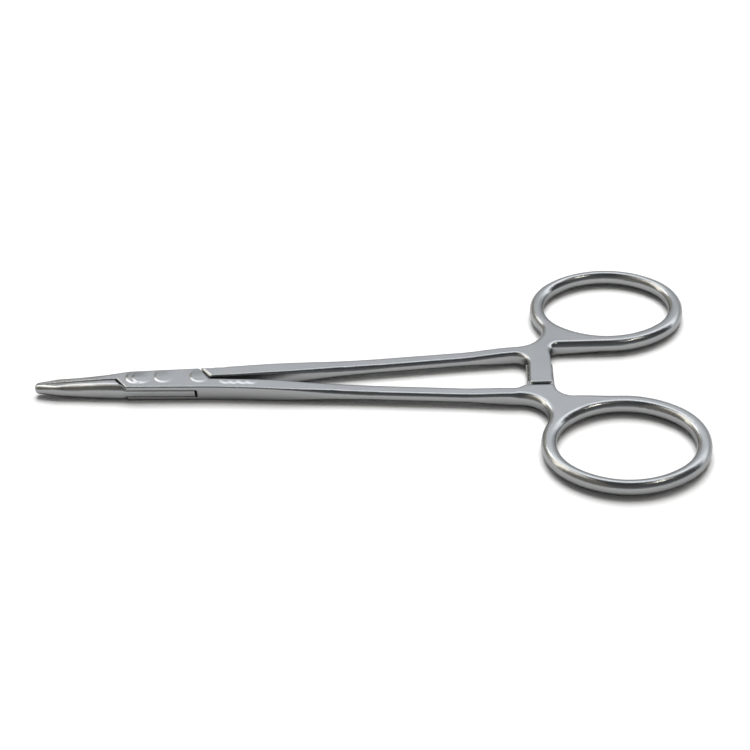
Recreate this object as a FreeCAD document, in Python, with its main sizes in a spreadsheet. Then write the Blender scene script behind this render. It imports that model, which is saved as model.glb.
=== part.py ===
"""A ring-handled surgical needle holder with a box lock, closed and lying flat.

The origin is on the axis of the pivot pin, on the plane that the lock rests on. X runs from the
pivot towards the finger rings, Z is up, and the tongue half's ring lies on the +Y side.
Both forgings are symmetrical about the plane halfway up the lock, so each is drawn there and
raised by half the thickness of the lock. All lengths are in millimetres.
"""
import FreeCAD, Part
import math
import os

import Sketcher

DOCUMENT = FreeCAD.newDocument("needle_holder")
VECTOR = FreeCAD.Vector

# Driving sizes, each with the name that the drawing uses for it
SIZES = {
    # Reach of the two ends from the pivot
    "jaw_reach": 25.8,
    "handle_reach": 104.2,
    # Jaws, seen from above
    "jaw_nose_width": 0.88,
    "jaw_nose_radius": 0.73,
    "jaw_taper_length": 5.0,
    "jaw_taper_width": 1.72,
    "jaw_taper_radius": 12.0,
    "jaw_root": 8.0,
    "jaw_root_width": 2.56,
    "jaw_root_radius": 100.0,
    "jaw_gap_tip": 0.02,
    "jaw_gap_heel": 0.17,
    "groove_tip_gap": 2.3,
    "groove_end": 11.0,
    "groove_depth": 0.25,
    "groove_height": 0.5,
    # Box lock
    "lock_thickness": 3.4,
    "tongue_thickness": 1.6,
    "tongue_clearance": 0.08,
    "tongue_reach": 6.6,
    "slot_end_radius": 7.65,
    "slot_side": 0.05,
    "cheek_inner_reach": 9.3,
    "cheek_inner_width": 0.4,
    "cheek_outer_reach": 6.9,
    "cheek_corner_radius": 0.6,
    "jaw_shoulder_gap": 0.35,
    "shank_shoulder_gap": 0.75,
    "shoulder_bevel": 0.3,
    # Pivot pin
    "pin_radius": 1.2,
    "pin_clearance": 0.03,
    "pin_head_radius": 1.5,
    "pin_head_depth": 0.4,
    # Shanks, seen from above
    "shank_outer_bend": 11.0,
    "shank_outer_bend_width": 3.2,
    "shank_outer_radius": 150.0,
    "shank_inner_bend": 17.0,
    "shank_inner_bend_width": 0.6,
    "shank_inner_radius": 200.0,
    "neck_setback": 35.7,
    "neck_width": 7.85,
    "neck_radius": 5.4,
    # Thickness of the forging along its length, half of it, and where it changes
    "tip_half_thickness": 0.85,
    "jaw_profile_end": 12.0,
    "jaw_profile_radius": 60.0,
    "shank_profile_start": 19.0,
    "shank_profile_radius": 250.0,
    "shank_thin_start": 40.0,
    "shank_thin_half_thickness": 1.03,
    "shank_thin_radius": 250.0,
    "shank_thin_setback": 44.2,
    "ring_profile_setback": 36.9,
    "ring_half_thickness": 1.5,
    "ring_profile_radius": 25.0,
    # Ratchet arms: where each begins and ends is measured back from the end of the handle
    "box_arm_front_setback": 32.65,
    "box_arm_rear_setback": 27.45,
    "box_arm_rear_radius": 3.4,
    "tongue_arm_front_setback": 32.2,
    "tongue_arm_rear_setback": 27.8,
    "tongue_arm_rear_radius": 2.0,
    "arm_end_width": 4.0,
    "arm_root_radius": 2.8,
    "arm_corner_radius": 0.7,
    "arm_shoulder_width": 4.75,
    "arm_inner_width": 5.4,
    "arm_gap": 0.1,
    "tooth_pitch": 1.3,
    "tooth_depth": 0.5,
    "tooth_count": 4,
    "tooth_land": 0.25,
    # Finger rings: an oval of four arcs, given at the middle of its rod
    "ring_offset": 21.07,
    "ring_long_half": 14.1,
    "ring_short_half": 11.7,
    "ring_end_radius": 10.3,
    "ring_rod_width": 2.8,
    "ring_opening_shift": 0.3,
    # Rounding of the long edges, and where along them it changes
    "jaw_tip_round": 0.68,
    "jaw_tip_round_length": 2.0,
    "jaw_top_round": 1.35,
    "jaw_under_round": 0.75,
    "lock_edge_round": 0.25,
    "shank_round_start": 18.0,
    "shank_round_end": 34.0,
    "shank_edge_round": 0.75,
    "ring_edge_round": 1.2,
    "arm_edge_round": 0.55,
    "arm_end_round": 0.3,
}


# How near counts as on a line, and how far a face's normal rises if it isn't a wall
NEAR = 0.1
FLAT_RISE = 0.8

# How far the side profile is drawn past both ends
PAST_END = 1.0


def make_sheet():
    """The spreadsheet that holds the driving sizes."""
    sheet = DOCUMENT.addObject("Spreadsheet::Sheet", "Sizes")
    for row, (name, size) in enumerate(SIZES.items(), start=1):
        sheet.set(f"A{row}", name)
        sheet.set(f"B{row}", str(size))
        sheet.setAlias(f"B{row}", name)
    DOCUMENT.recompute()
    return sheet


SHEET = make_sheet()


def size(expression):
    """The value of an expression of sheet sizes, such as S.arm_rear - S.arm_front."""
    return float(SHEET.evalExpression(expression.replace("S.", "Sizes.")))


def bind(thing, where, expression):
    thing.setExpression(where, expression.replace("S.", "Sizes."))


def origin_plane(body, role):
    return next(f for f in body.Origin.OriginFeatures if f.Role == role)


def new_body(name):
    return DOCUMENT.addObject("PartDesign::Body", name)


def new_sketch(body, name, plane="XY_Plane"):
    sketch = body.newObject("Sketcher::SketchObject", name)
    sketch.AttachmentSupport = (origin_plane(body, plane), [""])
    sketch.MapMode = "FlatFace"
    return sketch


class Tracer:
    """Draws a closed chain of lines and arcs in a sketch, and binds it to the sheet."""

    def __init__(self, sketch):
        self.sketch = sketch
        self.chain = []

    def fix(self, kind, *args):
        """Add a constraint. The last argument is the expression of its value, if it has one."""
        if isinstance(args[-1], str):
            *where, expression = args
            at = self.sketch.addConstraint(Sketcher.Constraint(kind, *where, size(expression)))
            name = f"size_{at}"
            self.sketch.renameConstraint(at, name)
            bind(self.sketch, f"Constraints.{name}", expression)
        else:
            self.sketch.addConstraint(Sketcher.Constraint(kind, *args))

    def place(self, shape, vertex, x, y):
        self.fix("DistanceX", -1, 1, shape, vertex, x)
        self.fix("DistanceY", -1, 1, shape, vertex, y)

    def line(self, start, end):
        self.chain.append(("line", self.sketch.addGeometry(Part.LineSegment(start, end), False)))
        return self.chain[-1][1]

    def arc(self, start, end, centre, ccw):
        radius = (start - centre).Length
        first = math.atan2(start.y - centre.y, start.x - centre.x)
        last = math.atan2(end.y - centre.y, end.x - centre.x)
        if not ccw:
            first, last = last, first
        if last <= first:
            last += 2 * math.pi
        circle = Part.Circle(centre, VECTOR(0, 0, 1), radius)
        shape = self.sketch.addGeometry(Part.ArcOfCircle(circle, first, last), False)
        self.chain.append(("arc_ccw" if ccw else "arc_cw", shape))
        return shape

    def ends(self, link):
        """Which vertex of a link of the chain is its start, and which its end."""
        kind, shape = link
        return (shape, 2, 1) if kind == "arc_cw" else (shape, 1, 2)

    def join(self, first, second, kind):
        a, _, a_end = self.ends(first)
        b, b_start, _ = self.ends(second)
        self.sketch.addConstraint(Sketcher.Constraint(kind, a, a_end, b, b_start))


def corner_round(before, corner, after, radius):
    """Tangent points and centre of the arc that rounds a corner."""
    back = (before - corner).normalize()
    on = (after - corner).normalize()
    half = math.acos(max(-1.0, min(1.0, back.dot(on)))) / 2
    reach = radius / math.tan(half)
    middle = (back + on).normalize()
    return corner + back * reach, corner + on * reach, corner + middle * (radius / math.sin(half))


def polygon(sketch, corners):
    """A closed outline through corners of (x, y, radius or None), each an expression."""
    tracer = Tracer(sketch)
    trace_corners(tracer, corners, closed=True)
    return tracer


def trace_corners(tracer, corners, closed, end_at=None):
    """Draw the lines and rounding arcs along a list of corners.

    An open chain starts at the first corner and ends on the line to the last corner, at end_at.
    """
    points = [VECTOR(size(x), size(y), 0) for x, y, _ in corners]
    count = len(points)
    stops = []
    for i, (x, y, radius) in enumerate(corners):
        rounded = radius is not None and (closed or 0 < i < count - 1)
        if rounded:
            stops.append(corner_round(points[i - 1], points[i], points[(i + 1) % count], size(radius)))
        else:
            stops.append((points[i], points[i], None))
    if end_at is not None:
        stops[-1] = (end_at, end_at, None)
    lines = []
    first_link = len(tracer.chain)
    for i in range(count if closed else count - 1):
        after = (i + 1) % count
        lines.append(tracer.line(stops[i][1], stops[after][0]))
        entry, leave, centre = stops[after]
        if centre is not None:
            turn = (entry - centre).cross(leave - centre).z
            tracer.arc(entry, leave, centre, ccw=turn > 0)
    links = tracer.chain[first_link:]
    pairs = list(zip(links, links[1:])) + ([(links[-1], links[0])] if closed else [])
    for link, following in pairs:
        straight = link[0] == "line" and following[0] == "line"
        tracer.join(link, following, "Coincident" if straight else "Tangent")
    arcs = iter([shape for kind, shape in links if kind != "line"])
    order = list(range(1, count)) + [0] if closed else list(range(1, count - 1))
    for i in order:
        x, y, radius = corners[i]
        before, following = lines[i - 1], lines[i % len(lines)]
        if stops[i][2] is None:
            tracer.place(following, 1, x, y)
        else:
            point = tracer.sketch.addGeometry(Part.Point(points[i]), True)
            tracer.place(point, 1, x, y)
            tracer.sketch.addConstraint(Sketcher.Constraint("PointOnObject", point, 1, before))
            tracer.sketch.addConstraint(Sketcher.Constraint("PointOnObject", point, 1, following))
            tracer.fix("Radius", next(arcs), radius)
    return lines


SIDE_RADIUS = (
    "((S.ring_long_half - S.ring_end_radius)^2 + S.ring_short_half^2 - S.ring_end_radius^2)"
    " / (2 * (S.ring_short_half - S.ring_end_radius))"
)
RING_X = "(S.handle_reach - S.ring_long_half - S.ring_rod_width / 2)"
END_OFFSET = "(S.ring_long_half - S.ring_end_radius)"
WEB_WIDTH = "(S.ring_offset - S.ring_short_half - S.ring_rod_width / 2)"
NECK_X = "(S.handle_reach - S.neck_setback)"
BOX_SIDE = -1
TONGUE_SIDE = 1


def arm_sizes(side):
    """Where the ratchet arm of one half begins and ends, and its radius at the web behind it."""
    half = "box" if side == BOX_SIDE else "tongue"
    front = f"(S.handle_reach - S.{half}_arm_front_setback)"
    rear = f"(S.handle_reach - S.{half}_arm_rear_setback)"
    return front, rear, f"S.{half}_arm_rear_radius"


def ring_centres(side, offset="S.ring_offset"):
    """Centres of an oval's front, outer, rear and inner arcs, for the ring on one side."""
    x, y = size(RING_X), side * size(offset)
    ends = size(END_OFFSET)
    sides = side * (size(SIDE_RADIUS) - size("S.ring_short_half"))
    return VECTOR(x - ends, y, 0), VECTOR(x, y - sides, 0), VECTOR(x + ends, y, 0), VECTOR(x, y + sides, 0)


def touch(small, large, small_radius):
    """Where two arcs of an oval meet, given their centres."""
    return small + (small - large).normalize() * small_radius


def signed(side, expression):
    return f"{'-' if side < 0 else ''}({expression})"


def trace_half(sketch, side, lock_corners):
    """The outline of a whole forging, whose handle lies on the side given, seen from above."""
    tracer = Tracer(sketch)
    rod = size("S.ring_rod_width") / 2
    end_radius = size("S.ring_end_radius") + rod
    front, outer, rear, inner = ring_centres(side)
    web_y = signed(side, WEB_WIDTH)
    arm_front, arm_rear, arm_rear_radius = arm_sizes(side)

    # The neck arc touches the shank's outer line and the ring's front arc
    bend = VECTOR(size("S.shank_outer_bend"), side * size("S.shank_outer_bend_width"), 0)
    neck = VECTOR(size(NECK_X), side * size("S.neck_width"), 0)
    neck_radius = size("S.neck_radius")
    along = (neck - bend).normalize()
    out = VECTOR(-along.y, along.x, 0) * side
    foot = bend + out * neck_radius
    gap = front - foot
    across = gap.dot(out)
    run = gap.dot(along) - math.sqrt((neck_radius + end_radius) ** 2 - across**2)
    neck_centre = foot + along * run
    neck_start = bend + along * run
    neck_end = neck_centre + (front - neck_centre).normalize() * neck_radius

    corners = [
        (RING_X, web_y, None),
        (arm_rear, web_y, arm_rear_radius),
        (arm_rear, signed(-side, "S.arm_end_width"), "S.arm_corner_radius"),
        (arm_front, signed(-side, "S.arm_end_width"), "S.arm_corner_radius"),
        (arm_front, signed(side, "S.arm_inner_width"), "S.arm_root_radius"),
        ("S.shank_inner_bend", signed(side, "S.shank_inner_bend_width"), "S.shank_inner_radius"),
        *lock_corners,
        ("S.shank_outer_bend", signed(side, "S.shank_outer_bend_width"), "S.shank_outer_radius"),
        (NECK_X, signed(side, "S.neck_width"), None),
    ]
    lines = trace_corners(tracer, corners, closed=False, end_at=neck_start)
    last_line = tracer.chain[-1]
    first_line = tracer.chain[0]
    guide = sketch.addGeometry(Part.Point(neck), True)
    tracer.place(guide, 1, corners[-1][0], corners[-1][1])
    sketch.addConstraint(Sketcher.Constraint("PointOnObject", guide, 1, lines[-1]))

    turn = side > 0
    side_radius = size(SIDE_RADIUS) + rod
    front_end = touch(front, outer, end_radius)
    rear_start = touch(rear, outer, end_radius)
    rear_end = touch(rear, inner, end_radius)
    web_start = inner - VECTOR(0, side * side_radius, 0)
    neck_arc = tracer.arc(neck_start, neck_end, neck_centre, ccw=turn)
    front_arc = tracer.arc(neck_end, front_end, front, ccw=not turn)
    outer_arc = tracer.arc(front_end, rear_start, outer, ccw=not turn)
    rear_arc = tracer.arc(rear_start, rear_end, rear, ccw=not turn)
    inner_arc = tracer.arc(rear_end, web_start, inner, ccw=not turn)
    ring_links = [last_line] + tracer.chain[-5:] + [first_line]
    for link, following in zip(ring_links, ring_links[1:]):
        tracer.join(link, following, "Tangent")
    ring_y = signed(side, "S.ring_offset")
    tracer.fix("Radius", neck_arc, "S.neck_radius")
    tracer.place(front_arc, 3, f"{RING_X} - {END_OFFSET}", ring_y)
    tracer.fix("Radius", front_arc, "S.ring_end_radius + S.ring_rod_width / 2")
    tracer.fix("Radius", outer_arc, f"{SIDE_RADIUS} + S.ring_rod_width / 2")
    tracer.place(rear_arc, 3, f"{RING_X} + {END_OFFSET}", ring_y)
    tracer.fix("Radius", rear_arc, "S.ring_end_radius + S.ring_rod_width / 2")
    tracer.fix("Radius", inner_arc, f"{SIDE_RADIUS} + S.ring_rod_width / 2")
    sketch.addConstraint(Sketcher.Constraint("Horizontal", first_line[1]))
    return tracer


def trace_opening(sketch, side):
    """The oval opening of a finger ring."""
    tracer = Tracer(sketch)
    rod = size("S.ring_rod_width") / 2
    radius = size("S.ring_end_radius") - rod
    offset = "S.ring_offset + S.ring_opening_shift"
    front, outer, rear, inner = ring_centres(side, offset)
    front_out, rear_out = touch(front, outer, radius), touch(rear, outer, radius)
    rear_in, front_in = touch(rear, inner, radius), touch(front, inner, radius)
    ccw = side < 0
    arcs = [
        tracer.arc(front_in, front_out, front, ccw),
        tracer.arc(front_out, rear_out, outer, ccw),
        tracer.arc(rear_out, rear_in, rear, ccw),
        tracer.arc(rear_in, front_in, inner, ccw),
    ]
    for i, link in enumerate(tracer.chain):
        tracer.join(link, tracer.chain[(i + 1) % 4], "Tangent")
    ring_y = signed(side, offset)
    tracer.place(arcs[0], 3, f"{RING_X} - {END_OFFSET}", ring_y)
    tracer.fix("Radius", arcs[0], "S.ring_end_radius - S.ring_rod_width / 2")
    tracer.fix("Radius", arcs[1], f"{SIDE_RADIUS} - S.ring_rod_width / 2")
    tracer.place(arcs[2], 3, f"{RING_X} + {END_OFFSET}", ring_y)
    tracer.fix("Radius", arcs[2], "S.ring_end_radius - S.ring_rod_width / 2")
    tracer.fix("Radius", arcs[3], f"{SIDE_RADIUS} - S.ring_rod_width / 2")


def cut_profile(body):
    """Pocket away what lies above and below the forging's side profile."""
    sketch = new_sketch(body, "side_profile", "XZ_Plane")
    for side in (1, -1):
        heights = [
            (f"-S.jaw_reach - {PAST_END}", "S.tip_half_thickness", None),
            ("-S.jaw_profile_end", "S.lock_thickness / 2", "S.jaw_profile_radius"),
            ("S.shank_profile_start", "S.lock_thickness / 2", "S.shank_profile_radius"),
            ("S.shank_thin_start", "S.shank_thin_half_thickness", "S.shank_thin_radius"),
            (
                "S.handle_reach - S.shank_thin_setback",
                "S.shank_thin_half_thickness",
                "S.ring_profile_radius",
            ),
            (
                "S.handle_reach - S.ring_profile_setback",
                "S.ring_half_thickness",
                "S.ring_profile_radius",
            ),
            (f"S.handle_reach + {PAST_END}", "S.ring_half_thickness", None),
            (f"S.handle_reach + {PAST_END}", "S.lock_thickness", None),
            (f"-S.jaw_reach - {PAST_END}", "S.lock_thickness", None),
        ]
        polygon(sketch, [(x, signed(side, z), radius) for x, z, radius in heights])
    pocket = body.newObject("PartDesign::Pocket", "profile_cut")
    pocket.Profile = sketch
    pocket.Type = "ThroughAll"
    pocket.Midplane = True


def make_blank(name, side, lock_corners):
    """The forging before its lock is cut: a flat outline with its opening and side profile."""
    body = new_body(name)
    plan = new_sketch(body, "plan")
    trace_half(plan, side, lock_corners)
    pad = body.newObject("PartDesign::Pad", "plate")
    pad.Profile = plan
    pad.Midplane = True
    bind(pad, "Length", "S.lock_thickness")
    opening = new_sketch(body, "ring_opening")
    trace_opening(opening, side)
    hole = body.newObject("PartDesign::Pocket", "opening_cut")
    hole.Profile = opening
    hole.Type = "ThroughAll"
    hole.Midplane = True
    cut_profile(body)
    DOCUMENT.recompute()
    return body


def side_width(x):
    """Half the width of the lock at a place along it: its sides are straight from jaw to shank."""
    return (
        f"(S.jaw_root_width + ({x} + S.jaw_root) * (S.shank_outer_bend_width - S.jaw_root_width)"
        " / (S.shank_outer_bend + S.jaw_root))"
    )


def jaw_corners(side):
    """The outline of a jaw from its root to the heel of its biting face."""
    return [
        ("-S.jaw_root", signed(side, "S.jaw_root_width"), "S.jaw_root_radius"),
        (
            "S.jaw_taper_length - S.jaw_reach",
            signed(side, "S.jaw_taper_width"),
            "S.jaw_taper_radius",
        ),
        ("-S.jaw_reach", signed(side, "S.jaw_nose_width"), "S.jaw_nose_radius"),
        ("-S.jaw_reach", signed(side, "S.jaw_gap_tip"), None),
        ("-S.cheek_inner_reach", signed(side, "S.jaw_gap_heel"), None),
    ]


def box_corners():
    """The lock of the box half: its cheeks end in a slanting edge at each end."""
    return [
        ("S.cheek_inner_reach", "-S.cheek_inner_width", None),
        ("S.cheek_outer_reach", side_width("S.cheek_outer_reach"), "S.cheek_corner_radius"),
        *jaw_corners(-BOX_SIDE),
        ("-S.cheek_inner_reach", "S.cheek_inner_width", None),
        ("-S.cheek_outer_reach", "-" + side_width("-S.cheek_outer_reach"), None),
    ]


def tongue_corners():
    """The lock of the tongue half: a strip that is flush with the sides of the box."""
    return [
        ("S.tongue_reach", "S.cheek_inner_width", None),
        ("S.tongue_reach", "-" + side_width("S.tongue_reach"), None),
        *jaw_corners(-TONGUE_SIDE),
        ("-S.tongue_reach", "-S.jaw_gap_heel", None),
        ("-S.tongue_reach", side_width("-S.tongue_reach"), None),
    ]


def between(x, stations):
    """The radius at x, from stations of (x, radius) in order, changing evenly between them."""
    for (x0, r0), (x1, r1) in zip(stations, stations[1:]):
        if x <= x1:
            share = max(0.0, (x - x0) / (x1 - x0))
            return r0 + (r1 - r0) * share
    return stations[-1][1]


def round_at(point, side, jaw_blends):
    """Radius of the rounding of the long edges at a place on the outline of one half.

    A jaw that runs into the cheeks blends into their sharper edge, and one that ends in a shoulder
    keeps its round.
    """
    x, towards_ring = point.x, point.y * side
    if x > size(NECK_X):
        arm_front, arm_rear, arm_rear_radius = arm_sizes(side)
        if towards_ring < 0:
            return size("S.arm_end_round")
        if x > size(arm_front) - NEAR and towards_ring < size(f"{WEB_WIDTH} - {arm_rear_radius}") + NEAR:
            return size("S.arm_edge_round")
        past_neck = towards_ring > size("S.neck_width + S.neck_radius / 2")
        if x > size(arm_rear) or past_neck:
            return size("S.ring_edge_round")
        return size("S.shank_edge_round")
    heel = size("S.jaw_top_round" if point.z > 0 else "S.jaw_under_round")
    lock = size("S.lock_edge_round")
    stations = [
        (size("S.jaw_tip_round_length - S.jaw_reach"), size("S.jaw_tip_round")),
        (-size("S.jaw_profile_end"), heel),
        (-size("S.cheek_outer_reach"), lock if jaw_blends or towards_ring > 0 else heel),
        (size("S.cheek_outer_reach"), lock),
        (size("S.shank_round_start"), lock),
        (size("S.shank_round_end"), size("S.shank_edge_round")),
    ]
    return between(x, stations)


def flat(face, point):
    """Whether a face is a top or an underside at a point on it, and not a wall."""
    u, v = face.Surface.parameter(point)
    return abs(face.normalAt(u, v).z) > FLAT_RISE


def round_edges(name, body, side, jaw_blends, lock_end):
    """Round the long edges of a forging, above and below, but not its biting face or lock ends."""
    shape = body.Shape
    jobs = []
    for number, edge in enumerate(shape.Edges, start=1):
        middle = edge.valueAt((edge.FirstParameter + edge.LastParameter) / 2)
        faces = shape.ancestorsOfType(edge, Part.Face)
        if sorted(flat(face, middle) for face in faces) != [False, True]:
            continue
        width = abs(middle.y)
        in_lock = abs(middle.x) < size(lock_end) + NEAR
        before_nose = -size("S.jaw_reach") + NEAR < middle.x < 0
        biting = before_nose and width < size("S.jaw_gap_heel") + NEAR
        if biting or (in_lock and width < size("S.jaw_root_width") - NEAR):
            continue
        start, end = edge.valueAt(edge.FirstParameter), edge.valueAt(edge.LastParameter)
        jobs.append((number, *(round_at(point, side, jaw_blends) for point in (start, end))))
    rounded = DOCUMENT.addObject("Part::Fillet", name)
    rounded.Base = body
    rounded.Edges = jobs
    DOCUMENT.recompute()
    return rounded


def box_tool(name, low, high):
    """A block between two corners, each three expressions."""
    block = DOCUMENT.addObject("Part::Box", name)
    for axis, length, a, b in zip("xyz", ("Length", "Width", "Height"), low, high):
        bind(block, f"Placement.Base.{axis}", a)
        bind(block, length, f"({b}) - ({a})")
    return block


def cylinder_tool(name, radius, height):
    """An upright cylinder about the pivot, halfway up the lock."""
    post = DOCUMENT.addObject("Part::Cylinder", name)
    bind(post, "Radius", radius)
    bind(post, "Height", height)
    bind(post, "Placement.Base.z", f"-({height}) / 2")
    return post


def fuse(name, *tools):
    joined = DOCUMENT.addObject("Part::MultiFuse", name)
    joined.Shapes = list(tools)
    return joined


def cut(name, base, tool):
    result = DOCUMENT.addObject("Part::Cut", name)
    result.Base = base
    result.Tool = tool
    return result


def make_slot():
    """The slot through the box: round about the pivot, and open where the tongue leaves it."""
    reach = "S.cheek_inner_reach + S.lock_thickness"
    floor, roof = "-S.tongue_thickness / 2", "S.tongue_thickness / 2"
    middle = cylinder_tool("slot_middle", "S.slot_end_radius", "S.tongue_thickness")
    jaw_mouth = box_tool(
        "slot_jaw_mouth", (f"-({reach})", f"-({reach})", floor), ("0", "S.slot_side", roof)
    )
    shank_mouth = box_tool(
        "slot_shank_mouth", ("0", "-S.slot_side", floor), (reach, reach, roof)
    )
    return fuse("slot", middle, jaw_mouth, shank_mouth)


def make_recess():
    """What is cut from the tongue half to thin its tongue, between its two slanting shoulders.

    The tool widens at the top and the underside, which bevels the shoulders' edges.
    """
    lean = "(S.cheek_inner_reach - S.cheek_outer_reach) / (S.cheek_inner_width + S.jaw_root_width)"
    reach = "S.lock_thickness * 2"
    inner = f"S.cheek_inner_reach + {lean} * ({reach} - S.cheek_inner_width)"
    outer = f"S.cheek_inner_reach - {lean} * ({reach} + S.cheek_inner_width)"
    corners = [
        (f"-({inner} + S.jaw_shoulder_gap)", f"{reach}", None),
        (f"-({outer} + S.jaw_shoulder_gap)", f"-{reach}", None),
        (f"{inner} + S.shank_shoulder_gap", f"-{reach}", None),
        (f"{outer} + S.shank_shoulder_gap", f"{reach}", None),
    ]
    body = new_body("tongue_recess")
    sketch = new_sketch(body, "shoulders")
    polygon(sketch, corners)
    pad = body.newObject("PartDesign::Pad", "between_shoulders")
    pad.Profile = sketch
    pad.Midplane = True
    bind(pad, "Length", "S.lock_thickness * 2")
    bevel_start = "S.lock_thickness / 2 - S.shoulder_bevel"
    for side, name in ((1, "upper"), (-1, "lower")):
        edge = new_sketch(body, f"{name}_bevel_start")
        bind(edge, "AttachmentOffset.Base.z", signed(side, bevel_start))
        polygon(edge, corners)
        bevel = body.newObject("PartDesign::Pad", f"{name}_bevel")
        bevel.Profile = edge
        bevel.Reversed = side < 0
        bevel.TaperAngle = 45
        bind(bevel, "Length", "S.shoulder_bevel * 2")
    slab = box_tool(
        "tongue_slab",
        (f"-2 * {reach}", f"-2 * {reach}", "-S.tongue_thickness / 2 + S.tongue_clearance"),
        (f"2 * {reach}", f"2 * {reach}", "S.tongue_thickness / 2 - S.tongue_clearance"),
    )
    return cut("tongue_recess_cut", body, slab)


def make_ratchet_cut(name, side):
    """What is cut from the box half's arm: the height above it, and the gaps of its teeth."""
    arm_front, arm_rear, arm_rear_radius = arm_sizes(side)
    top = "-S.arm_gap / 2"
    body = new_body(name + "_teeth")
    sketch = new_sketch(body, "tooth_gaps", "YZ_Plane")
    bind(sketch, "AttachmentOffset.Base.z", f"{arm_front} - S.arm_corner_radius")
    corners = [("S.arm_end_width - S.tooth_land", "0", None)]
    for tooth in range(int(size("S.tooth_count"))):
        tip = f"S.arm_end_width - {tooth} * S.tooth_pitch - S.tooth_land"
        corners.append((tip, top, None))
        corners.append((f"{tip} - S.tooth_pitch + S.tooth_land", f"{top} - S.tooth_depth", None))
    last = "S.arm_end_width - S.tooth_count * S.tooth_pitch - S.tooth_land"
    corners += [(last, top, None), (last, "0", None)]
    polygon(sketch, corners)
    teeth = body.newObject("PartDesign::Pad", "gaps")
    teeth.Profile = sketch
    bind(teeth, "Length", f"{arm_rear} - {arm_front} + 2 * S.arm_corner_radius")
    relief = box_tool(
        name + "_relief",
        (f"{arm_front} - S.arm_root_radius", "-S.arm_shoulder_width", top),
        (f"{arm_rear} + {arm_rear_radius}", "S.arm_shoulder_width", "S.lock_thickness"),
    )
    return fuse(name, body, relief)


def make_groove(name):
    """The lengthwise groove in the box half's biting face, which keeps a needle from rolling."""
    return box_tool(
        name,
        ("S.groove_tip_gap - S.jaw_reach", "-S.groove_depth", "-S.groove_height / 2"),
        ("-S.groove_end", "S.groove_depth", "S.groove_height / 2"),
    )


def turn_over(tool):
    """Turn a tool half round about the length of the part, to serve the other half."""
    tool.Placement = FreeCAD.Placement(VECTOR(0, 0, 0), FreeCAD.Rotation(VECTOR(1, 0, 0), 180))
    return tool


def make_pin(name):
    """The rivet, or the seat for it: its heads fill countersinks and are ground flush."""
    body = new_body(name)
    sketch = new_sketch(body, "section", "XZ_Plane")
    half = "S.lock_thickness / 2"
    neck = f"({half} - S.pin_head_depth)"
    polygon(
        sketch,
        [
            ("0", f"-{half}", None),
            ("S.pin_head_radius", f"-{half}", None),
            ("S.pin_radius", f"-{neck}", None),
            ("S.pin_radius", neck, None),
            ("S.pin_head_radius", half, None),
            ("0", half, None),
        ],
    )
    turned = body.newObject("PartDesign::Revolution", "turned")
    turned.Profile = sketch
    turned.ReferenceAxis = (sketch, ["V_Axis"])
    turned.Angle = 360
    return body


def finish(part, label):
    """Name a finished piece and raise it so that the lock stands on the ground plane."""
    part.Label = label
    bind(part, "Placement.Base.z", "S.lock_thickness / 2")
    return part


def make_box_half():
    blank = make_blank("box_blank", BOX_SIDE, box_corners())
    rounded = round_edges("box_rounded", blank, BOX_SIDE, True, "S.cheek_inner_reach")
    slotted = cut("box_slotted", rounded, make_slot())
    ratchet = cut("box_ratchet", slotted, make_ratchet_cut("box_ratchet_cut", BOX_SIDE))
    grooved = cut("box_grooved", ratchet, make_groove("box_groove"))
    return cut("box_half", grooved, make_pin("pin_seat"))


def make_tongue_half():
    blank = make_blank("tongue_blank", TONGUE_SIDE, tongue_corners())
    rounded = round_edges("tongue_rounded", blank, TONGUE_SIDE, False, "S.tongue_reach")
    thinned = cut("tongue_thinned", rounded, make_recess())
    ratchet_cut = turn_over(make_ratchet_cut("tongue_ratchet_cut", TONGUE_SIDE))
    ratchet = cut("tongue_ratchet", thinned, ratchet_cut)
    grooved = cut("tongue_grooved", ratchet, turn_over(make_groove("tongue_groove")))
    bore = cylinder_tool("bore", "S.pin_radius + S.pin_clearance", "S.lock_thickness")
    return cut("tongue_half", grooved, bore)


def check_document(parts):
    """Stop on any object that failed, and on any part that isn't one sound solid."""
    for thing in DOCUMENT.Objects:
        if {"Invalid", "Error"} & set(thing.State):
            raise RuntimeError(f"{thing.Name} failed: {thing.State}")
    for part in parts:
        shape = part.Shape
        if shape.isNull() or not shape.isValid() or len(shape.Solids) != 1:
            raise RuntimeError(f"{part.Label} is not one valid solid")


def main():
    parts = [
        finish(make_box_half(), "box_half"),
        finish(make_tongue_half(), "tongue_half"),
        finish(make_pin("pin"), "pivot_pin"),
    ]
    DOCUMENT.recompute()
    check_document(parts)
    os.makedirs("parts", exist_ok=True)
    for part in parts:
        part.Shape.exportStep(f"parts/{part.Label}.step")
        box = part.Shape.BoundBox
        print(part.Label, round(part.Shape.Volume, 2), len(part.Shape.Faces), box)


main()
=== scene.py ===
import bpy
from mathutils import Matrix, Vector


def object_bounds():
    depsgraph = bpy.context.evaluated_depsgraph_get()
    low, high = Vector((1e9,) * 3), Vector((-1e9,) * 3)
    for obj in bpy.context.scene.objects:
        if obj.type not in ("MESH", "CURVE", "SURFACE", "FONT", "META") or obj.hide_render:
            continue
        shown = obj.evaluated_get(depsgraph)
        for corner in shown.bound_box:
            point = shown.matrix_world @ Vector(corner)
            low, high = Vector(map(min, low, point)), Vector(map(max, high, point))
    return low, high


bl_info = {
    "name": "Needle Holder Finish",
    "version": (1, 0, 0),
    "blender": (4, 5, 0),
    "location": "View3D > Sidebar > Needle Holder",
    "description": "Gives the needle holder its satin steel, its gripping teeth and its studio",
    "category": "Object",
}

import math

import bpy
from bpy.props import FloatProperty, FloatVectorProperty, PointerProperty
from mathutils import Matrix, Vector

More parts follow.
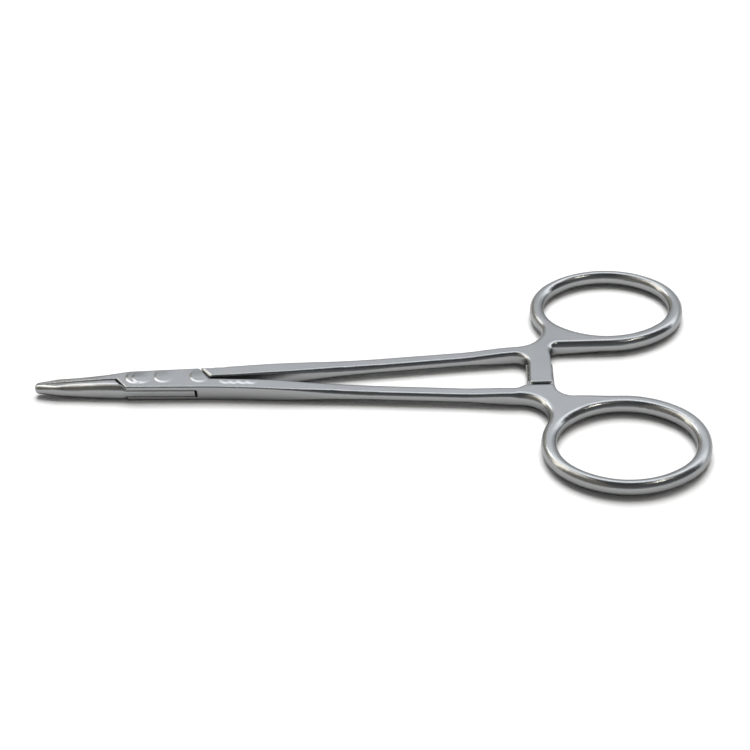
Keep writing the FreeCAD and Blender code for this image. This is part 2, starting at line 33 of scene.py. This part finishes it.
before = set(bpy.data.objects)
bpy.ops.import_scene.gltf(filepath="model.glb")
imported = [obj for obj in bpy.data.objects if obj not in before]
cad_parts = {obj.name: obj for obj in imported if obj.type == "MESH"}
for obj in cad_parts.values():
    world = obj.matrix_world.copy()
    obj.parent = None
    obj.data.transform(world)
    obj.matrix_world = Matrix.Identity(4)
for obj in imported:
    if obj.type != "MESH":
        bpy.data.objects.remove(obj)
CAD_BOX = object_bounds()

MM = 0.001

# Crescents that the grinding belt left on top of the lock and the near shank: the centre of each
# along and across the holder, and its radius
BELT_MARKS = (
    (-5.2 * MM, 0.9 * MM, 2.1 * MM),
    (-3.9 * MM, 0.9 * MM, 2.1 * MM),
    (0.4 * MM, 1.0 * MM, 2.1 * MM),
    (7.6 * MM, 0.8 * MM, 2.1 * MM),
    (13.0 * MM, -0.4 * MM, 1.6 * MM),
    (14.6 * MM, -0.7 * MM, 1.4 * MM),
    (16.4 * MM, -0.6 * MM, 1.6 * MM),
    (18.0 * MM, -1.0 * MM, 1.3 * MM),
)

# The studio's walls as steel mirrors them: degrees from the horizon behind the holder, over the
# top, to the horizon behind the camera, then brightness. The walls past the jaws are apart.
WALLS = (
    (0, 0.5),
    (28, 0.58),
    (38, 0.85),
    (46, 1.3),
    (54, 2.2),
    (62, 2.2),
    (69, 0.3),
    (76, 0.06),
    (110, 0.08),
    (150, 0.13),
    (180, 0.25),
)
END_WALLS = (
    (0, 0.4),
    (28, 0.4),
    (40, 0.5),
    (52, 0.7),
    (60, 1.0),
    (67, 2.1),
    (85, 2.1),
    (96, 0.4),
    (130, 0.22),
    (180, 0.25),
)
COOL = (0.96, 1.0, 1.04)
WARM = (1.05, 1.0, 0.88)

# Each lamp's place, the point that it faces, and the length of its side
FILL = ((0.15, 0.75, 1.36), (0.04, 0, 0), 1.15)
GLINT = ((0.46, -0.13, 0.90), (0.06, 0, 0), 0.06)
SIDE_GLINT = ((-0.47, 0.55, 0.70), (0, 0, 0), 0.28)

# How fine each pattern of the steel is along the holder, across it and up through it
CLOUDS = (160, 260, 260)
RIPPLES = (240, 150, 120)
STREAKS = (150, 2500, 2500)
SCRATCHES = (900, 9000, 9000)
GRAIN = (4500, 4500, 4500)

# The belt marks lie no deeper than this below the top of the lock
TOP_BAND = 0.1 * MM


def add_node(tree, kind, settings=None, inputs=None):
    """Add a shader node. An input is a value, or the output socket that feeds it."""
    node = tree.nodes.new(kind)
    for name, value in (settings or {}).items():
        setattr(node, name, value)
    for name, value in (inputs or {}).items():
        if isinstance(value, bpy.types.NodeSocket):
            tree.links.new(value, node.inputs[name])
        else:
            node.inputs[name].default_value = value
    return node


def math_node(tree, operation, *values, clamp=False):
    """Add a Math node and return its result."""
    settings = {"operation": operation, "use_clamp": clamp}
    return add_node(tree, "ShaderNodeMath", settings, dict(enumerate(values))).outputs[0]


def ramp_node(tree, factor, stops):
    """Add a Color Ramp through (position, colour) stops and return its colour."""
    ramp = add_node(tree, "ShaderNodeValToRGB", inputs={"Fac": factor})
    elements = ramp.color_ramp.elements
    while len(elements) < len(stops):
        elements.new(0.5)
    for element, (position, colour) in zip(elements, stops):
        element.position = position
        element.color = (*colour, 1)
    return ramp.outputs["Color"]


def new_material(name):
    """An empty node material. Returns it with its tree and its output node."""
    material = bpy.data.materials.new(name)
    material.use_nodes = True
    tree = material.node_tree
    tree.nodes.clear()
    return material, tree, add_node(tree, "ShaderNodeOutputMaterial")


def stretched_noise(tree, point, scale, detail=2.0):
    """Noise on the piece's own coordinates, with its own scale along each axis."""
    mapping = add_node(tree, "ShaderNodeMapping", inputs={"Vector": point, "Scale": scale})
    inputs = {"Vector": mapping.outputs[0], "Scale": 1.0, "Detail": detail}
    return add_node(tree, "ShaderNodeTexNoise", inputs=inputs).outputs["Fac"]


def fade(tree, value, start, end):
    """1 up to the start, 0 past the end, and a smooth step between them."""
    step = add_node(
        tree,
        "ShaderNodeMapRange",
        {"interpolation_type": "SMOOTHSTEP"},
        {"Value": value, "From Min": start, "From Max": end, "To Min": 1.0, "To Max": 0.0},
    )
    return step.outputs[0]


def bump_node(tree, height, depth, normal):
    """Add a Bump node on top of a normal and return the new normal."""
    inputs = {"Height": height, "Strength": 1.0, "Distance": depth, "Normal": normal}
    return add_node(tree, "ShaderNodeBump", inputs=inputs).outputs[0]


def belt_marks(tree, point, finish):
    """Height of the crescents: low discs with a sloping rim, which fade towards the rings."""
    axes = add_node(tree, "ShaderNodeSeparateXYZ", inputs={"Vector": point}).outputs
    level = {"X": axes["X"], "Y": axes["Y"]}
    flat = add_node(tree, "ShaderNodeCombineXYZ", inputs=level).outputs[0]
    height = 0.0
    for along, across, radius in BELT_MARKS:
        reach = add_node(
            tree,
            "ShaderNodeVectorMath",
            {"operation": "DISTANCE"},
            {0: flat, 1: (along, across, 0)},
        ).outputs["Value"]
        disc = fade(tree, reach, radius - finish.mark_rim / 2, radius + finish.mark_rim / 2)
        tail = fade(tree, axes["X"], along - radius / 2, along + radius)
        back = fade(tree, axes["Y"], across - radius / 4, across + radius)
        mark = math_node(tree, "MULTIPLY", disc, math_node(tree, "MULTIPLY", tail, back))
        height = math_node(tree, "ADD", height, mark)
    on_top = math_node(tree, "GREATER_THAN", axes["Z"], CAD_BOX[1][2] - TOP_BAND)
    return math_node(tree, "MULTIPLY", height, on_top)


def jaw_teeth(tree, point, finish):
    """Height of the crossed grooves on the biting faces, at the holder's middle plane."""
    axes = add_node(tree, "ShaderNodeSeparateXYZ", inputs={"Vector": point}).outputs
    waves = []
    for direction in ("ADD", "SUBTRACT"):
        run = math_node(tree, direction, axes["X"], axes["Z"])
        waves.append(math_node(tree, "PINGPONG", run, finish.tooth_pitch / 2))
    lowest = math_node(tree, "MINIMUM", *waves)
    aside = math_node(tree, "ABSOLUTE", axes["Y"])
    on_face = math_node(tree, "LESS_THAN", aside, finish.bite_half_width)
    in_jaw = math_node(tree, "LESS_THAN", axes["X"], finish.bite_end)
    return math_node(tree, "MULTIPLY", lowest, math_node(tree, "MULTIPLY", on_face, in_jaw))


def make_satin_steel(finish):
    """Buffed stainless steel: crowned edges, lengthwise streaks, belt marks and jaw teeth."""
    material, tree, output = new_material("satin_steel")
    point = add_node(tree, "ShaderNodeTexCoord").outputs["Object"]
    crowned = add_node(tree, "ShaderNodeBevel", {"samples": 6}, {"Radius": finish.edge_softness})
    plain = add_node(tree, "ShaderNodeNewGeometry").outputs["Normal"]
    pin = add_node(
        tree, "ShaderNodeVectorMath", {"operation": "MULTIPLY"}, {0: point, 1: (1, 1, 0)}
    ).outputs["Vector"]
    reach = add_node(
        tree, "ShaderNodeVectorMath", {"operation": "LENGTH"}, {0: pin}
    ).outputs["Value"]
    ground = math_node(tree, "LESS_THAN", reach, finish.rivet_reach)
    normal = add_node(
        tree,
        "ShaderNodeMix",
        {"data_type": "VECTOR"},
        {0: ground, 4: crowned.outputs[0], 5: plain},
    ).outputs[1]
    clouds = stretched_noise(tree, point, CLOUDS, 3.0)
    scratches = stretched_noise(tree, point, SCRATCHES)
    grain = stretched_noise(tree, point, GRAIN, 1.0)
    ripples = stretched_noise(tree, point, RIPPLES, 1.0)
    streaks = stretched_noise(tree, point, STREAKS, 1.0)
    span = add_node(
        tree,
        "ShaderNodeMapRange",
        inputs={
            "Value": clouds,
            "From Min": 0.3,
            "From Max": 0.7,
            "To Min": finish.roughness - finish.roughness_spread,
            "To Max": finish.roughness + finish.roughness_spread,
        },
    )
    for height, depth in (
        (belt_marks(tree, point, finish), finish.mark_depth),
        (jaw_teeth(tree, point, finish), 1.0),
        (ripples, finish.ripple_depth),
        (streaks, finish.streak_depth),
        (scratches, finish.scratch_depth),
        (grain, finish.grain_depth),
    ):
        normal = bump_node(tree, height, depth, normal)
    shader = add_node(
        tree,
        "ShaderNodeBsdfPrincipled",
        inputs={
            "Base Color": (*finish.colour, 1.0),
            "Metallic": 1.0,
            "Roughness": span.outputs[0],
            "Normal": normal,
        },
    )
    tree.links.new(shader.outputs[0], output.inputs["Surface"])
    return material


class SteelFinish(bpy.types.PropertyGroup):
    """The look of the forged and buffed steel."""

    colour: FloatVectorProperty(
        name="Colour",
        description="Colour of the bare steel",
        subtype="COLOR",
        size=3,
        min=0,
        max=1,
        default=(0.44, 0.445, 0.45),
    )
    roughness: FloatProperty(
        name="Roughness",
        description="Mean roughness of the buffed steel",
        min=0,
        max=1,
        default=0.21,
    )
    roughness_spread: FloatProperty(
        name="Roughness spread",
        description="How far the clouding takes the roughness from its mean",
        min=0,
        max=0.5,
        default=0.05,
    )
    edge_softness: FloatProperty(
        name="Edge softness",
        description="How far from its edges a face is crowned by the buffing",
        subtype="DISTANCE",
        precision=5,
        default=0.0004,
    )
    ripple_depth: FloatProperty(
        name="Ripple depth",
        description="Height of the shallow waves that the grinding belt leaves",
        subtype="DISTANCE",
        precision=6,
        default=0.000004,
    )
    streak_depth: FloatProperty(
        name="Streak depth",
        description="Height of the long soft streaks that the buffing wheel leaves",
        subtype="DISTANCE",
        precision=7,
        default=0.000004,
    )
    mark_depth: FloatProperty(
        name="Belt mark depth",
        description="Height of the crescents that the grinding belt leaves on the lock",
        subtype="DISTANCE",
        precision=6,
        default=0.0001,
    )
    mark_rim: FloatProperty(
        name="Belt mark rim",
        description="Width of the sloping rim of each crescent",
        subtype="DISTANCE",
        precision=5,
        default=0.0008,
    )
    rivet_reach: FloatProperty(
        name="Rivet reach",
        description="How far round the pivot the top is ground flat over the rivet",
        subtype="DISTANCE",
        precision=5,
        default=0.0019,
    )
    tooth_pitch: FloatProperty(
        name="Jaw tooth pitch",
        description="Distance from one groove of the biting faces to the next, along the jaw",
        subtype="DISTANCE",
        precision=5,
        default=0.0006,
    )
    bite_half_width: FloatProperty(
        name="Bite depth",
        description="How far from the holder's middle plane the toothed biting faces reach",
        subtype="DISTANCE",
        precision=5,
        default=0.0002,
    )
    bite_end: FloatProperty(
        name="Bite end",
        description="Where the teeth of the biting faces end, along the holder",
        subtype="DISTANCE",
        precision=5,
        default=-0.0105,
    )
    scratch_depth: FloatProperty(
        name="Scratch depth",
        description="Height of the fine lengthwise scratches",
        subtype="DISTANCE",
        precision=6,
        default=0.000001,
    )
    grain_depth: FloatProperty(
        name="Grain depth",
        description="Height of the finest grain of the buffing",
        subtype="DISTANCE",
        precision=7,
        default=0.00001,
    )


class StudioSettings(bpy.types.PropertyGroup):
    """The floor, the lamps and the camera."""

    end_wall_reach: FloatVectorProperty(
        name="End wall reach",
        description="Where the end wall past the jaws stops, and where the side walls have begun",
        size=2,
        default=(-0.33, -0.27),
    )
    camera_place: FloatVectorProperty(
        name="Camera place",
        description="Where the camera stands",
        subtype="XYZ",
        unit="LENGTH",
        size=3,
        default=(0.05951, -0.22979, 0.18191),
    )
    camera_aim: FloatVectorProperty(
        name="Camera aim",
        description="The point at the middle of the picture",
        subtype="XYZ",
        unit="LENGTH",
        size=3,
        default=(0.04172, 0.00315, 0.00037),
    )
    camera_roll: FloatProperty(
        name="Camera roll",
        description="Turn of the camera about its own line of sight",
        subtype="ANGLE",
        default=math.radians(-4.17),
    )
    lens: FloatProperty(
        name="Lens", description="Focal length on a 36 mm sensor", unit="CAMERA", default=71.56
    )
    floor_size: FloatProperty(
        name="Floor size", description="Side of the square floor", subtype="DISTANCE", default=4.0
    )
    floor_tone: FloatProperty(
        name="Floor tone",
        description="Whiteness of the floor for the light it scatters",
        min=0,
        max=1,
        default=0.8,
    )
    floor_mirrored: FloatProperty(
        name="Floor tone in the steel",
        description="Whiteness of the floor as the steel shows it",
        min=0,
        max=1,
        default=0.65,
    )
    fill_power: FloatProperty(
        name="Fill power",
        description="Power of the wide fill light over the floor",
        unit="POWER",
        default=32.0,
    )
    glint_power: FloatProperty(
        name="Glint power",
        description="Power of the small warm lamp overhead",
        unit="POWER",
        default=0.5,
    )
    side_glint_power: FloatProperty(
        name="Side glint power",
        description="Power of the small lamp that shows the belt marks",
        unit="POWER",
        default=0.8,
    )
    world_level: FloatProperty(
        name="World level", description="Brightness of the room's even light", min=0, default=0.10
    )


class STEEL_OT_forgings(bpy.types.Operator):
    """Give both forgings and the rivet their satin steel"""

    bl_idname = "needle_holder.forgings"
    bl_label = "Finish the forgings"

    def execute(self, context):
        material = make_satin_steel(context.scene.steel_finish)
        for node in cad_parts.values():
            node.data.materials.clear()
            node.data.materials.append(material)
        return {"FINISHED"}


def make_floor(settings):
    """A white floor that keeps the holder's shadow and shows as white."""
    bpy.ops.mesh.primitive_plane_add(size=settings.floor_size, location=(0, 0, 0))
    floor = bpy.context.object
    floor.name = "floor"
    material, tree, output = new_material("white_floor")
    rays = add_node(tree, "ShaderNodeLightPath").outputs
    scattered, mirrored = settings.floor_tone, settings.floor_mirrored
    plain = math_node(tree, "MULTIPLY_ADD", rays["Is Camera Ray"], 1.0 - scattered, scattered)
    tone = math_node(tree, "MULTIPLY_ADD", rays["Is Glossy Ray"], mirrored - scattered, plain)
    matt = add_node(tree, "ShaderNodeBsdfDiffuse", inputs={"Color": tone})
    tree.links.new(matt.outputs[0], output.inputs["Surface"])
    floor.data.materials.append(material)


def mix_colours(tree, factor, first, second, blend="MIX"):
    """Mix two colours, each a value or a socket, and return the result."""
    settings = {"data_type": "RGBA", "blend_type": blend}
    return add_node(tree, "ShaderNodeMix", settings, {0: factor, 6: first, 7: second}).outputs[2]


def make_world(settings):
    """Walls around the length of the holder for the steel to mirror, and plain white behind it.

    The walls brighten from the horizon behind the holder to a strip above it, and are dark from
    overhead to the camera's side. Past the jaws the bright strip is wider and stands higher.
    """
    world = bpy.data.worlds.new("studio")
    bpy.context.scene.world = world
    world.use_nodes = True
    tree = world.node_tree
    tree.nodes.clear()
    direction = add_node(tree, "ShaderNodeTexCoord").outputs["Generated"]
    axes = add_node(tree, "ShaderNodeSeparateXYZ", inputs={"Vector": direction}).outputs
    angle = math_node(tree, "ARCTAN2", axes["Z"], axes["Y"])
    turn = math_node(tree, "DIVIDE", angle, math.pi)
    sides, end = (
        ramp_node(tree, turn, [(degrees / 180, [level] * 3) for degrees, level in walls])
        for walls in (WALLS, END_WALLS)
    )
    past_jaws = fade(tree, axes["X"], *settings.end_wall_reach)
    levels = mix_colours(tree, past_jaws, sides, end)
    tint = mix_colours(tree, past_jaws, (*COOL, 1), (*WARM, 1))
    walls = mix_colours(tree, 1.0, levels, tint, "MULTIPLY")
    rays = add_node(tree, "ShaderNodeLightPath").outputs
    plain = math_node(tree, "MAXIMUM", rays["Is Camera Ray"], settings.world_level)
    white = {"Color": (1, 1, 1, 1), "Strength": plain}
    room = add_node(tree, "ShaderNodeBackground", inputs=white)
    mirrored = add_node(tree, "ShaderNodeBackground", inputs={"Color": walls, "Strength": 1.0})
    mixed = add_node(
        tree,
        "ShaderNodeMixShader",
        inputs={0: rays["Is Glossy Ray"], 1: room.outputs[0], 2: mirrored.outputs[0]},
    )
    add_node(tree, "ShaderNodeOutputWorld", inputs={"Surface": mixed.outputs[0]})


def add_lamp(name, place, aim, size, power, colour=(1, 1, 1)):
    """A square area lamp that points at a place."""
    data = bpy.data.lights.new(name, "AREA")
    data.size = size
    data.energy = power
    data.color = colour
    lamp = bpy.data.objects.new(name, data)
    lamp.location = place
    lamp.rotation_euler = (Vector(aim) - Vector(place)).to_track_quat("-Z", "Y").to_euler()
    bpy.context.scene.collection.objects.link(lamp)
    return lamp


def make_camera(settings):
    """The camera at the photograph's viewing angle."""
    data = bpy.data.cameras.new("camera")
    data.lens = settings.lens
    data.sensor_width = 36.0
    data.clip_start = 0.01
    camera = bpy.data.objects.new("camera", data)
    place, aim = Vector(settings.camera_place), Vector(settings.camera_aim)
    level = (aim - place).to_track_quat("-Z", "Y").to_matrix()
    camera.matrix_world = Matrix.Translation(place) @ (
        level @ Matrix.Rotation(settings.camera_roll, 3, "Z")
    ).to_4x4()
    bpy.context.scene.collection.objects.link(camera)
    bpy.context.scene.camera = camera


class STEEL_OT_studio(bpy.types.Operator):
    """Build the white floor, the lamps and the camera"""

    bl_idname = "needle_holder.studio"
    bl_label = "Build the studio"

    def execute(self, context):
        settings = context.scene.studio_settings
        make_floor(settings)
        make_world(settings)
        fill = add_lamp("fill", *FILL, settings.fill_power)
        fill.visible_glossy = False
        add_lamp("glint", *GLINT, settings.glint_power, WARM)
        add_lamp("side_glint", *SIDE_GLINT, settings.side_glint_power, COOL)
        make_camera(settings)
        context.scene.view_settings.view_transform = "Standard"
        return {"FINISHED"}


class STEEL_PT_panel(bpy.types.Panel):
    """The needle holder's pieces and their settings"""

    bl_idname = "STEEL_PT_panel"
    bl_label = "Needle Holder"
    bl_space_type = "VIEW_3D"
    bl_region_type = "UI"
    bl_category = "Needle Holder"

    def draw(self, context):
        layout = self.layout
        for group, operators in (
            (context.scene.steel_finish, (STEEL_OT_forgings,)),
            (context.scene.studio_settings, (STEEL_OT_studio,)),
        ):
            for name in group.bl_rna.properties.keys():
                if name not in ("rna_type", "name"):
                    layout.prop(group, name)
            for operator in operators:
                layout.operator(operator.bl_idname)


CLASSES = (SteelFinish, StudioSettings, STEEL_OT_forgings, STEEL_OT_studio, STEEL_PT_panel)


def register():
    for cls in CLASSES:
        bpy.utils.register_class(cls)
    bpy.types.Scene.steel_finish = PointerProperty(type=SteelFinish)
    bpy.types.Scene.studio_settings = PointerProperty(type=StudioSettings)


def unregister():
    del bpy.types.Scene.studio_settings
    del bpy.types.Scene.steel_finish
    for cls in reversed(CLASSES):
        bpy.utils.unregister_class(cls)


def main():
    register()
    bpy.ops.needle_holder.studio()
    bpy.ops.needle_holder.forgings()


if __name__ == "__main__":
    main()
